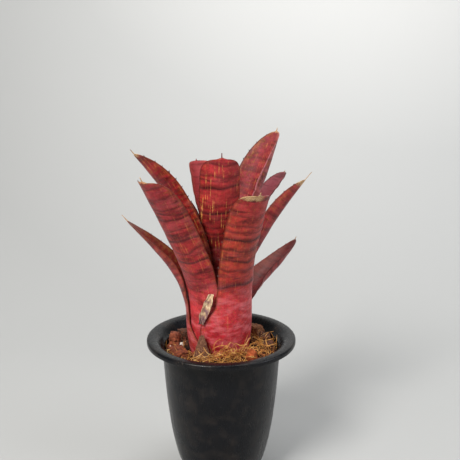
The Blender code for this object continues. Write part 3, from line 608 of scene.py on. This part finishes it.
leaves = {
    "leaf_front_right": dict(
        layer=0, az=41, neck=23, reach=32.5, rise=81, lean=22, hw=13.6, ch=13, tip=24, p=3.4, wrap=70,
        spine=2, soft=0.12, roll=-8, hold=9,
        skin=("C82E3A", "D03840", "B2302C", "B03A2A", "B4342E", "A22830"), lining=("B98A55", "A06A4A"),
        bands=((9.5, 1.1, 1.0), (17.5, 0.6, 0.6), (22.5, 0.7, 0.75), (28.0, 0.6, 0.7), (33.5, 0.9, 0.95),
               (38.0, 0.5, 0.6), (41.0, 0.5, 0.55), (46.0, 0.6, 0.5)),
        fine=(3.6, 0.55), gold=0.2, olive=0.38, dry=2.4, dry_to=0, teeth=0.8, hem=("5A1C14", "C07C80"),
        painted_sheen=(12, 0.25)),
    "leaf_low_left": dict(
        layer=1, az=-98, neck=12, reach=51.5, rise=64.5, lean=44, hw=11, ch=7.4, tip=42, p=1.5, wrap=68,
        spine=4, roll=2, skin=("BE3536", "A82830", "98222C", "92222A", "8C1E28", "6A1420"),
        lining=("6A1C16", "54180E"), bands=((14, 0.6, 0.6), (21, 0.5, 0.5), (28, 0.6, 0.6),
            (36, 0.5, 0.5), (44, 0.5, 0.5)), fine=(3.4, 0.45), gold=0.2, olive=0.45, dry=0.6, teeth=0.8),
    "leaf_front_left": dict(
        layer=2, az=-45, neck=20, reach=49, rise=89.5, lean=30, hw=15, ch=12, tip=32, p=3.0, wrap=78,
        soft=0.16, skin=("C82E3A", "D03840", "B43036", "AE2E30", "A02A30", "A82832"),
        lining=("8A3A26", "8A3A26"), bands=((12, 0.5, 0.5), (19, 0.6, 0.6), (26, 0.7, 0.8),
            (33, 0.5, 0.6), (39.5, 0.7, 0.8), (46, 0.5, 0.6), (52, 0.5, 0.7), (58, 0.5, 0.6),
            (64, 0.5, 0.6), (70, 0.5, 0.6)), fine=(3.6, 0.5), gold=0.25, olive=0.4, dry=0.3),
    "leaf_low_right": dict(
        layer=3, az=138, neck=7.0, reach=70.5, rise=43, lean=42, hw=11.6, ch=8.8, tip=34, p=1.7, wrap=55,
        spine=2, soft=0.18, roll=-18, skin=("C23434", "AA2026", "9A1C20", "981E24", "8C1E26", "7C1C24"),
        # inner face from dark red on the left to pale tan on the right; the tan is painted sheen
        lining=("74161C", "BC7C68"), bands=((16, 0.6, 0.6), (24, 0.5, 0.5), (32, 0.6, 0.6), (40, 0.5, 0.5)),
        fine=(3.4, 0.3), gold=0.05, olive=0.1, dry=0.5, hem=("5A1C14", "8A3A30"), lined=0.35),
    "leaf_low_back": dict(
        layer=4, az=-178, neck=12, reach=46, rise=58, lean=48, hw=9.5, ch=9, tip=30, p=1.6, wrap=74,
        skin=("C63735", "B12A2A", "972323", "912221", "8A2023", "791D21"), lining=("8A4632", "8A4632"),
        bands=((14, 0.6, 0.6), (22, 0.5, 0.6), (30, 0.6, 0.5), (37, 0.5, 0.5)), fine=(3.2, 0.4), gold=0.10,
        olive=0.25, dry=1.2, teeth=0.8),
    "leaf_right": dict(
        layer=5, az=97, neck=20, reach=49.5, rise=87.5, lean=40, hw=11.2, ch=9.5, tip=40, p=1.7, wrap=80,
        spine=5, soft=0.15, roll=-28, curl=0.55,
        skin=("C63735", "AF2B2C", "9C2830", "9A2830", "983032", "9A3A40"), lining=("8C3A30", "8C3A30"),
        bands=((16, 0.6, 0.6), (24, 0.6, 0.5), (32, 0.5, 0.6), (40, 0.6, 0.5), (48, 0.5, 0.6)),
        fine=(3.4, 0.35), gold=0.25, olive=0.35, dry=4.5, hem=("5A1C14", "B08070"), painted_sheen=(12, 0.3)),
    "leaf_back_right": dict(
        layer=6, az=134, neck=34, reach=53, rise=85, lean=52, hw=6.6, ch=9, tip=16, p=2.0, wrap=80, spine=1,
        soft=0.2, skin=("C23434", "A82828", "992528", "A02D33", "A63238", "A23238"),
        lining=("B85460", "C05A66"), bands=((14, 0.6, 0.5), (22, 0.5, 0.5), (30, 0.6, 0.5), (38, 0.5, 0.5)),
        fine=(3.2, 0.35), gold=0.06, olive=0.15, dry=0.4),
    "leaf_upper_left": dict(
        layer=7, az=-74, neck=34, reach=44, rise=100.5, lean=42, hw=10.6, ch=9.5, tip=26, p=1.8, wrap=80,
        soft=0.22, roll=20, curl=0.1, skin=("C63735", "9A1A1C", "8A1416", "9A1A1E", "A42028", "A8242C"),
        lining=("7E2A1C", "7E2A1C"), bands=((16, 0.5, 0.6), (23, 0.5, 0.6), (30, 0.6, 0.6),
            (37, 0.5, 0.6), (45, 0.5, 0.5)), fine=(3.0, 0.45), gold=0.5, olive=0.42, dry=1.6, teeth=1.1),
    "leaf_back_left": dict(
        layer=8, az=-116, neck=38, reach=19.5, rise=75, lean=18, hw=5.8, ch=9, tip=14, p=2.2, wrap=75,
        spine=2, soft=0.25, skin=("C23434", "A0201F", "911E1F", "972225", "9D2326", "992326"),
        lining=("7E2A22", "7E2A22"), bands=((12, 0.6, 0.6), (20, 0.6, 0.6), (28, 0.5, 0.6), (35, 0.5, 0.5)),
        fine=(3.0, 0.4), gold=0.10, olive=0.25, dry=1.0),
    "leaf_upper_right": dict(
        layer=9, az=118, neck=36, reach=36, rise=110, lean=17, hw=16.4, ch=13, tip=32, p=2.0, wrap=85,
        spine=2, soft=0.1, skin=("B03030", "7A0C14", "8C1820", "962430", "9C2A34", "984048"),
        lining=("7A2420", "7A2420"), bands=((14, 0.7, 0.6), (21, 0.6, 0.6), (29, 0.7, 0.6),
            (37, 0.6, 0.5), (45, 0.6, 0.6), (53, 0.6, 0.5), (61, 0.6, 0.5)), fine=(3.4, 0.5), gold=0.4,
        olive=0.6, dry=0.5, teeth=0.9, hem=("A8646C", "4A1810"), painted_sheen=(-11, 0.42), lined=0.12),
    "leaf_centre": dict(
        layer=10, az=10, neck=42, reach=15, rise=99, lean=4, hw=12, ch=12.5, tip=12, p=2.8, wrap=85,
        skin=("AC2F31", "8A1A1E", "A82426", "B83234", "B83236", "BA3038"), lining=("7A2420", "7A2420"),
        bands=((8, 0.7, 0.6), (12, 0.6, 0.6), (15.5, 0.6, 0.6), (19, 0.6, 0.6), (23, 0.6, 0.6),
               (26.5, 1.0, 0.9), (31, 0.6, 0.5), (40, 0.8, 0.8), (46, 0.6, 0.6), (52, 0.6, 0.6)),
        fine=(2.8, 0.42), gold=1.0, olive=0.25, dry=-4.0, teeth=0.6),
    "leaf_inner_left": dict(
        layer=11, az=-136, neck=44, reach=16.5, rise=94, lean=8, hw=11.5, ch=11, tip=8, p=2.8, wrap=85,
        spine=1, skin=("AC2F31", "7E1014", "A0201F", "B0282A", "B82C30", "C2343C"),
        lining=("C04C50", "B04040"), bands=((10, 0.7, 0.6), (17, 0.6, 0.6), (24, 0.6, 0.6),
            (31, 0.7, 0.7), (38, 0.6, 0.6), (44, 0.6, 0.6)), fine=(3.0, 0.4), gold=0.3, olive=0.25,
        dry=-2.0),
}


def ease(x):
    """Eases in and out from 0 to 1."""
    x = min(1.0, max(0.0, x))
    return x * x * (3.0 - 2.0 * x)


def midline(leaf):
    """Rows of radius, height, angle off upright and distance past the neck."""
    layer = leaf["layer"]
    r_top = BULB_R - layer * PITCH
    r_foot = ATTACH_R + (0.5 * CORE_R - ATTACH_R) * layer / 11.0
    z0 = ATTACH_Z + ATTACH_STEP * layer
    rise = BULGE_Z - z0
    neck = POT_H + leaf["neck"] * MM
    end = pi / 2 if neck >= BULGE_Z else acos(1.0 - (neck - z0) / rise)
    rows = []
    steps = 26
    for i in range(steps + 1):
        theta = radians(9) + (end - radians(9)) * i / steps
        rows.append([r_foot + (r_top - r_foot) * sin(theta), z0 + rise * (1.0 - cos(theta)),
                     atan2((r_top - r_foot) * cos(theta), rise * sin(theta)), 0.0])
    if neck > BULGE_Z:
        steps = max(1, int((neck - BULGE_Z) / (1.5 * MM)))
        rows += [[r_top, BULGE_Z + (neck - BULGE_Z) * i / steps, 0.0, 0.0] for i in range(1, steps + 1)]
    for k in range(len(rows) - 2, -1, -1):
        a, b = rows[k], rows[k + 1]
        rows[k][3] = b[3] - ((a[0] - b[0]) ** 2 + (a[1] - b[1]) ** 2) ** 0.5
    sheath = len(rows)
    r, z, lean, _ = rows[-1]
    tip_lean = radians(leaf["lean"])
    p0, p3 = Vector((r, z)), Vector((leaf["reach"] * MM, POT_H + leaf["rise"] * MM))
    chord = (p3 - p0).length
    p1 = p0 + Vector((sin(lean), cos(lean))) * chord * leaf["soft"]
    p2 = p3 - Vector((sin(tip_lean), cos(tip_lean))) * chord * 0.45
    fine, walked, last = [], 0.0, p0
    for i in range(1, 401):
        t = i / 400.0
        s = 1.0 - t
        here = s * s * s * p0 + 3 * s * s * t * p1 + 3 * s * t * t * p2 + t * t * t * p3
        slope = 3 * s * s * (p1 - p0) + 6 * s * t * (p2 - p1) + 3 * t * t * (p3 - p2)
        walked += (here - last).length
        last = here
        fine.append([here.x, here.y, atan2(slope.x, slope.y), walked])
    body = walked - (leaf["spine"] + leaf["tip"]) * MM
    stops = [body * i / 34.0 for i in range(1, 35)]
    stops += [body + leaf["tip"] * MM * sin(0.5 * pi * i / 26.0) for i in range(1, 27)]
    stops += [walked - leaf["spine"] * MM * (1.0 - i / 5.0) for i in range(1, 6)]
    rows += [min(fine, key=lambda q: abs(q[3] - stop)) for stop in stops]
    return rows, sheath, walked


for order, (cad_name, own) in enumerate(leaves.items()):
    leaf = {**usual, **own}
    rows, sheath, length = midline(leaf)
    az = radians(leaf["az"])
    out, right = Vector((sin(az), -cos(az), 0.0)), Vector((cos(az), sin(az), 0.0))
    up, centre = Vector((0.0, 0.0, 1.0)), Vector((PLANT_X, 0.0, 0.0))
    r_neck = rows[sheath - 1][0]
    neck_z = POT_H + leaf["neck"] * MM
    hold_z = POT_H + leaf["hold"] * MM
    hw, ch, tip = leaf["hw"] * MM, leaf["ch"] * MM, leaf["tip"] * MM
    wrap_neck = min(radians(84), hw / r_neck)
    tall = len(rows) - 1
    bpy.ops.mesh.primitive_grid_add(x_subdivisions=ACROSS, y_subdivisions=tall, size=1.0)
    blade = bpy.context.object
    blade.name = cad_name + "_blade"
    count = len(blade.data.vertices)
    spots, measures, weights = [], [], []
    margins = ([], [])
    for vert in blade.data.vertices:
        i = round((vert.co.x + 0.5) * ACROSS)
        j = round((vert.co.y + 0.5) * tall)
        u = 2.0 * i / ACROSS - 1.0
        r, z, lean, dist = rows[j]
        normal = -out * cos(lean) + up * sin(lean)
        if j < sheath:
            turn = ease((z - hold_z) / (neck_z - hold_z))
            half = radians(leaf["wrap"]) + (wrap_neck - radians(leaf["wrap"])) * turn
            spot = centre + up * z + r * (sin(u * half) * right + cos(u * half) * out)
            wide, face_in, sideways = r * half, -(sin(u * half) * right + cos(u * half) * out), right
            q = 0.0
        else:
            q = min(1.0, max(0.0, (dist - (length - leaf["spine"] * MM - tip)) / tip))
            taper = (1.0 - q ** leaf["p"]) ** (1.0 / leaf["p"])
            past = max(0.0, (dist - (length - leaf["spine"] * MM)) / (leaf["spine"] * MM))
            wide = max(hw * taper, 0.45 * MM * (1.0 - 0.9 * past))
            rho = r_neck + (ch - r_neck) * ease(dist / (30.0 * MM))
            rho *= 1.0 - leaf["curl"] * ease(q * 1.1)
            half = min(radians(86), wide / rho)
            half = wrap_neck + (half - wrap_neck) * ease(dist / (18.0 * MM))
            lifted = ease(dist / (10.0 * MM))
            normal = (-out * (1.0 - lifted) + normal * lifted).normalized()
            roll = radians(leaf["roll"]) * ease(dist / (0.7 * length))
            sideways = right * cos(roll) + normal * sin(roll)
            normal = normal * cos(roll) - right * sin(roll)
            spot = (centre + out * r + up * z + normal * rho
                    + rho * (sin(u * half) * sideways - cos(u * half) * normal))
            face_in = -(sin(u * half) * sideways - cos(u * half) * normal)
            # the margin is never quite even, and the surface has low swells
            wave = noise.noise(Vector((u * 1.5, dist * 130.0, order * 7.3)))
            ripple = noise.noise(Vector((u * 0.6, dist * 330.0, order * 3.1 + 40.0)))
            loose = ease(dist / (14.0 * MM)) * (1.0 - 0.7 * q)
            spot += face_in * loose * MM * (0.30 * wave + 0.55 * ripple * abs(u) ** 3)
        spots += (spot.x, spot.y, spot.z)
        measures += (u * wide / MM, dist / MM, (1.0 - abs(u)) * wide / MM)
        edge = min(1.0, (1.0 - abs(u)) * wide / (2.2 * MM))
        weights.append(max(0.12, (0.45 + 0.55 * edge) * (1.0 - 0.35 * q)))
        if i in (0, ACROSS) and j > sheath + 2 and q < 0.97:
            margins[i // ACROSS].append((dist, spot, face_in))
    blade.data.vertices.foreach_set("co", spots)
    blade.data.attributes.new("skin", "FLOAT_VECTOR", "POINT").data.foreach_set("vector", measures)
    thin = blade.vertex_groups.new(name="thin")
    for k, weight in enumerate(weights):
        thin.add([k], weight, "REPLACE")
    solid = blade.modifiers.new("thickness", "SOLIDIFY")
    solid.thickness = LEAF_T
    solid.offset = -1.0
    solid.vertex_group = "thin"
    bpy.ops.object.modifier_apply(modifier="thickness")
    inside = blade.data.attributes.new("inside", "FLOAT", "POINT")
    for k in range(count, len(blade.data.vertices)):
        inside.data[k].value = 1.0
    bpy.ops.object.shade_smooth()

    # teeth: small hooked points along both margins, a few mm apart
    random.seed(500 + order)
    verts, faces = [], []
    for way, margin in zip((-1.0, 1.0), margins):
        margin.sort(key=lambda m: m[0])
        reached = margin[0][0] + random.uniform(1.0, 4.0) * MM
        for (d0, a, _), (d1, b, inward) in zip(margin, margin[1:]):
            if d1 < reached or d1 == d0:
                continue
            reached = d1 + random.uniform(3.0, 5.2) * MM
            onward = (b - a).normalized()
            outward = onward.cross(inward).normalized()
            if way * outward.dot(right) < 0.0:
                outward = -outward
            size = leaf["teeth"] * random.uniform(0.7, 1.2) * MM
            root = b - outward * 0.25 * MM + inward * 0.2 * MM
            start = len(verts)
            point = root + outward * (0.7 * size + 0.25 * MM) + onward * 0.7 * size
            verts += [root - onward * 0.60 * size, root + inward * 0.28 * size, root + onward * 0.60 * size,
                      root - inward * 0.28 * size, point]
            faces += [(start + 3, start + 2, start + 1, start)]
            faces += [(start + k, start + (k + 1) % 4, start + 4) for k in range(4)]
    mesh = bpy.data.meshes.new("teeth")
    mesh.from_pydata(verts, [], faces)
    teeth = put("teeth", mesh)
    pick(teeth)
    mode("EDIT")
    bpy.ops.mesh.select_all(action="SELECT")
    bpy.ops.mesh.normals_make_consistent(inside=False)
    mode("OBJECT")

    # leaf skin: waxy and leathery, red with dark zones across it, dusted with pale scales
    # that are partly painted highlight, a painted sheen to one side, margins partly painted shade and
    # highlight, with long fine ribs and a drier, scuffed tip
    mat, tree, shader, where = surface(cad_name + "_skin", "skin")
    seed = 13.7 * order
    parts = node(tree, "SeparateXYZ", (where,))
    along, from_edge = parts.outputs["Y"], parts.outputs["Z"]
    within = node(tree, "Attribute", attribute_name="inside").outputs["Fac"]
    within = node(tree, "Math", (within, leaf["lined"]), operation="MULTIPLY")
    flat = node(tree, "Mapping", {0: where, "Location": (seed, 0.0, seed),
                  "Scale": (1.0, 1.0, 0.0)})
    swing, patch, mottle, speck = [
        node(tree, "TexNoise", {"Vector": flat, "Scale": scale, "Detail": detail, "Roughness": rough})
        for scale, detail, rough in ((0.07, 3.0, 0.45), (0.34, 4.0, 0.65), (0.62, 5.0, 0.7), (3.0, 3.0, 0.7))]
    # bands wander about 2 mm up and down
    level = node(tree, "Math", (swing, 7.0, along), operation="MULTIPLY_ADD")
    level = node(tree, "Math", (level, 3.5), operation="SUBTRACT")
    span = length / MM
    where_band = node(tree, "MapRange", (level, 0.0, span))
    marks = [(0.0, 0.0)]
    for place, half_w, strong in leaf["bands"]:
        for step, amount in ((-1.6, 0.0), (0.0, 1.2 * strong), (1.2, strong), (3.0, 0.0)):
            if step != 1.2 or len(leaf["bands"]) < 8:
                marks.append((max(marks[-1][0] + 0.002, (place + step * half_w) / span), min(1.0, amount)))
    band = node(tree, "ValToRGB", (where_band,), stops=marks)
    laid, scratch, streak, ribs = [
        node(tree, "TexNoise", {"Vector": node(tree, "Mapping", {0: flat, "Scale": scale}), "Scale": 1.0,
                                "Detail": detail, "Roughness": rough, "Distortion": twist})
        for scale, detail, rough, twist in (
            ((0.055, 1.0 / leaf["fine"][0], 1.0), 4.0, 0.6, 0.5), ((1.5, 0.055, 1.0), 3.0, 0.55, 0.0),
            ((0.09, 0.26, 1.0), 5.0, 0.68, 0.0), ((2.4, 0.05, 1.0), 3.0, 0.5, 0.0))]
    faint = node(tree, "MapRange", (laid, 0.47, 0.66, 0.0, 1.5 * leaf["fine"][1]))
    patchy = node(tree, "MapRange", (patch, 0.40, 0.60, 0.05, 1.0))
    worn = node(tree, "MapRange", (along, -6.0, 12.0, 0.35, 1.0))
    faint = node(tree, "Math", (faint, worn), operation="MULTIPLY")
    full = node(tree, "MapRange", (patch, 0.30, 0.50, 0.62, 1.0))
    band = node(tree, "Math", (band, full), operation="MULTIPLY")
    dark = node(tree, "Math", (band, faint), operation="MAXIMUM")
    # ground colour from the bulb to the tip
    wash = node(tree, "Math", (patch, 8.0, along), operation="MULTIPLY_ADD")
    ground = node(tree, "MapRange", (wash, -12.0, span + 4.0))
    tints = leaf["skin"]
    near = 16.0 / (span + 16.0)
    ground = node(tree, "ValToRGB", (ground,), stops=[(0.0, tints[0]), (near, tints[1]),
                  (near + 0.14, tints[2]), (0.55, tints[3]), (0.80, tints[4]), (1.0, tints[5])])
    brink = node(tree, "MapRange", (from_edge, 0.3, 4.5, 0.12, 0.0))
    brink = node(tree, "Math", (brink, mottle), operation="ADD")
    moss = node(tree, "MapRange", (brink, 0.52, 0.66, 0.0, leaf["olive"]))
    # long dry scratches, pale gold, a fraction of a millimetre wide
    scratch = node(tree, "MapRange", (scratch, 0.58, 0.64, 0.0, leaf["gold"]))
    broken = node(tree, "Math", (scratch, patchy), operation="MULTIPLY")
    colour = ground
    for much, tint in ((moss, "9A6222"), (dark, "2E050C"), (broken, "DFA055")):
        colour = node(tree, "Mix", {"Factor": much, "A": colour, "B": tint}, data_type="RGBA")
    # scales and specks
    fleck = node(tree, "MapRange", (speck, 0.30, 0.70, 0.62, 1.30))
    cloud = node(tree, "MapRange", (patch, 0.36, 0.62, 0.66, 1.10))
    fleck = node(tree, "Math", (fleck, cloud), operation="MULTIPLY")
    colour = node(tree, "Mix", {"Factor": 1.0, "A": colour, "B": fleck},
                  data_type="RGBA", blend_type="MULTIPLY")
    # pale pink scales, thickest by the bulb, where they also stand in for its highlights (painted highlight),
    # and a painted sheen that grows toward one side of the blade
    low = node(tree, "MapRange", (along, 12.0, -4.0, 0.12, 0.95))
    bloom_and_painted_sheen = node(tree, "MapRange", (streak, 0.45, 0.68))
    painted_sheen = node(tree, "MapRange", (parts.outputs["X"], 0.0, leaf["painted_sheen"][0], 0.0, leaf["painted_sheen"][1]))
    low = node(tree, "Math", (low, painted_sheen), operation="ADD")
    bloom_and_painted_sheen = node(tree, "Math", (bloom_and_painted_sheen, low), operation="MULTIPLY")
    colour = node(tree, "Mix", {"Factor": bloom_and_painted_sheen, "A": colour, "B": "E0747A"}, data_type="RGBA")
    # the inner face, then the margin line, its dark colours partly painted shade and its pale
    # colours painted highlight, and the dried tip on both faces
    half = node(tree, "MapRange", (parts.outputs["X"], 0.5, 7.0))
    left, right_side = leaf["lining"]
    lining = node(tree, "Mix", {"Factor": half, "A": left, "B": right_side}, data_type="RGBA")
    for much, tint in ((moss, "7A5A24"), (faint, "4A1610")):
        lining = node(tree, "Mix", {"Factor": much, "A": lining, "B": tint}, data_type="RGBA")
    colour = node(tree, "Mix", {"Factor": within, "A": colour, "B": lining}, data_type="RGBA")
    # margin line: dark hem colours partly painted shade, pale ones painted highlight
    rim_line = node(tree, "MapRange", (from_edge, 0.2, 1.1, 0.75, 0.0))
    side = node(tree, "MapRange", (parts.outputs["X"], -1.0, 1.0))
    hem = node(tree, "Mix", {"Factor": side, "A": leaf["hem"][0], "B": leaf["hem"][1]}, data_type="RGBA")
    colour = node(tree, "Mix", {"Factor": rim_line, "A": colour, "B": hem}, data_type="RGBA")
    end = node(tree, "Math", (mottle, 5.0, along), operation="MULTIPLY_ADD")
    tip_at = span - leaf["spine"]
    end = node(tree, "MapRange", (end, tip_at - leaf["dry"] + 1.8, tip_at - leaf["dry"] + 3.4, 0.0, 0.9))
    half_dry = node(tree, "MapRange", (parts.outputs["X"], leaf["dry_to"] + 4.0, leaf["dry_to"]))
    end = node(tree, "Math", (end, half_dry), operation="MULTIPLY")
    straw = node(tree, "ValToRGB", (speck,), stops=((0.36, "7A4A2C"), (0.50, "CFA06A"), (0.64, "F0DDB4")))
    colour = node(tree, "Mix", {"Factor": end, "A": colour, "B": straw}, data_type="RGBA")
    rise = node(tree, "Math", (speck, 0.35, ribs), operation="MULTIPLY_ADD")
    rise = node(tree, "Math", (mottle, 0.8, rise), operation="MULTIPLY_ADD")
    dent = node(tree, "Bump", {"Strength": 0.55, "Distance": 0.00035, "Height": rise})
    wax = node(tree, "MapRange", (mottle, 0.35, 0.65, 0.36, 0.56))
    node(tree, shader, {"Base Color": colour, "Roughness": wax, "Normal": dent, "IOR": 1.42,
                  "Specular IOR Level": 0.32, "Sheen Weight": 0.035, "Sheen Roughness": 0.30,
                  "Sheen Tint": "E8B8B4"})
    blade.data.materials.clear()
    blade.data.materials.append(mat)
    teeth.data.materials.append(horn)
    pick(blade, teeth)
    bpy.ops.object.join()
    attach(blade, "root")
    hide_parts(cad_name)

# ---------------------------------------------------------- dry sheath scrap
# The papery remains of an older, outer sheath, split and dried to a thin
# tan flake that still clings over the seam between two leaves.
low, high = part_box("dry_sheath_scrap")
SCRAP_COLS, SCRAP_ROWS = 18, 30
bpy.ops.mesh.primitive_grid_add(x_subdivisions=SCRAP_COLS, y_subdivisions=SCRAP_ROWS, size=1.0)
scrap = bpy.context.object
scrap.name = "dry_sheath_flake"
for vert in scrap.data.vertices:
    u, v = vert.co.x + 0.5, vert.co.y + 0.5
    ragged = noise.noise(Vector((3.0 * u, 5.0 * v, 2.0)))
    pull = 0.25 + 0.75 * sin(pi * (0.15 + 0.7 * v)) + 0.25 * ragged
    a = radians(-17.0 + (u - 0.5) * 13.0 * pull + 17.0 * (v - 0.5))
    lift = 0.45 + 1.1 * abs(2.0 * u - 1.0) ** 3 + 0.5 * noise.noise(Vector((4.0 * u, 6.0 * v, 9.0)))
    r = BULB_R + max(0.35, lift) * MM
    vert.co = Vector((PLANT_X + r * sin(a), -r * cos(a),
                      low.z + (high.z - low.z) * min(1.0, max(0.0, v + 0.05 * ragged))))
solid = scrap.modifiers.new("thickness", "SOLIDIFY")
solid.thickness = 0.22 * MM
solid.offset = 0.0
bpy.ops.object.modifier_apply(modifier="thickness")
bpy.ops.object.shade_smooth()
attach(scrap, "root")
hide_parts("dry_sheath_scrap")

# dried sheath: matt straw paper with brown upright veins
straw, tree, shader, where = surface("dried_sheath")
long_way = node(tree, "Mapping", {0: where, "Scale": (1.0, 1.0, 0.14)})
veins = node(tree, "TexNoise", {"Vector": long_way, "Scale": 1300.0, "Detail": 3.0})
blot = node(tree, "TexNoise", {"Vector": where, "Scale": 330.0, "Detail": 4.0})
both = node(tree, "Math", (veins, 0.6, blot), operation="MULTIPLY_ADD")
height = node(tree, "SeparateXYZ", (where,))
height = node(tree, "MapRange", (height.outputs["Z"], low.z, high.z, -0.24, 0.14))
both = node(tree, "Math", (both, height), operation="ADD")
tone = node(tree, "ValToRGB", (both,),
              stops=((0.48, "5A3A3C"), (0.64, "8C6A68"), (0.80, "C4A07C"), (0.95, "E8D2AC")))
dent = node(tree, "Bump", {"Strength": 0.5, "Distance": 0.0002, "Height": veins})
node(tree, shader, {"Base Color": tone, "Normal": dent, "Roughness": 0.85})
scrap.data.materials.clear()
scrap.data.materials.append(straw)

# ------------------------------------------------------------------- stem
# The short woody stem inside the bulb, from which the roots and the sheaths
# grow: tan, corky, ringed with old leaf scars.
cork, tree, shader, where = surface("corky_stem")
rings = node(tree, "Mapping", {0: where, "Scale": (0.3, 0.3, 2.0)})
scars = node(tree, "TexNoise", {"Vector": rings, "Scale": 500.0, "Detail": 4.0})
tone = node(tree, "ValToRGB", (scars,), stops=((0.3, "4A3020"), (0.5, "8A6A4A"), (0.7, "B08C62")))
dent = node(tree, "Bump", {"Strength": 0.7, "Distance": 0.0005, "Height": scars})
node(tree, shader, {"Base Color": tone, "Normal": dent, "Roughness": 0.85})
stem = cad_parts["stem"]
for place in stem.material_slots:
    place.material = cork
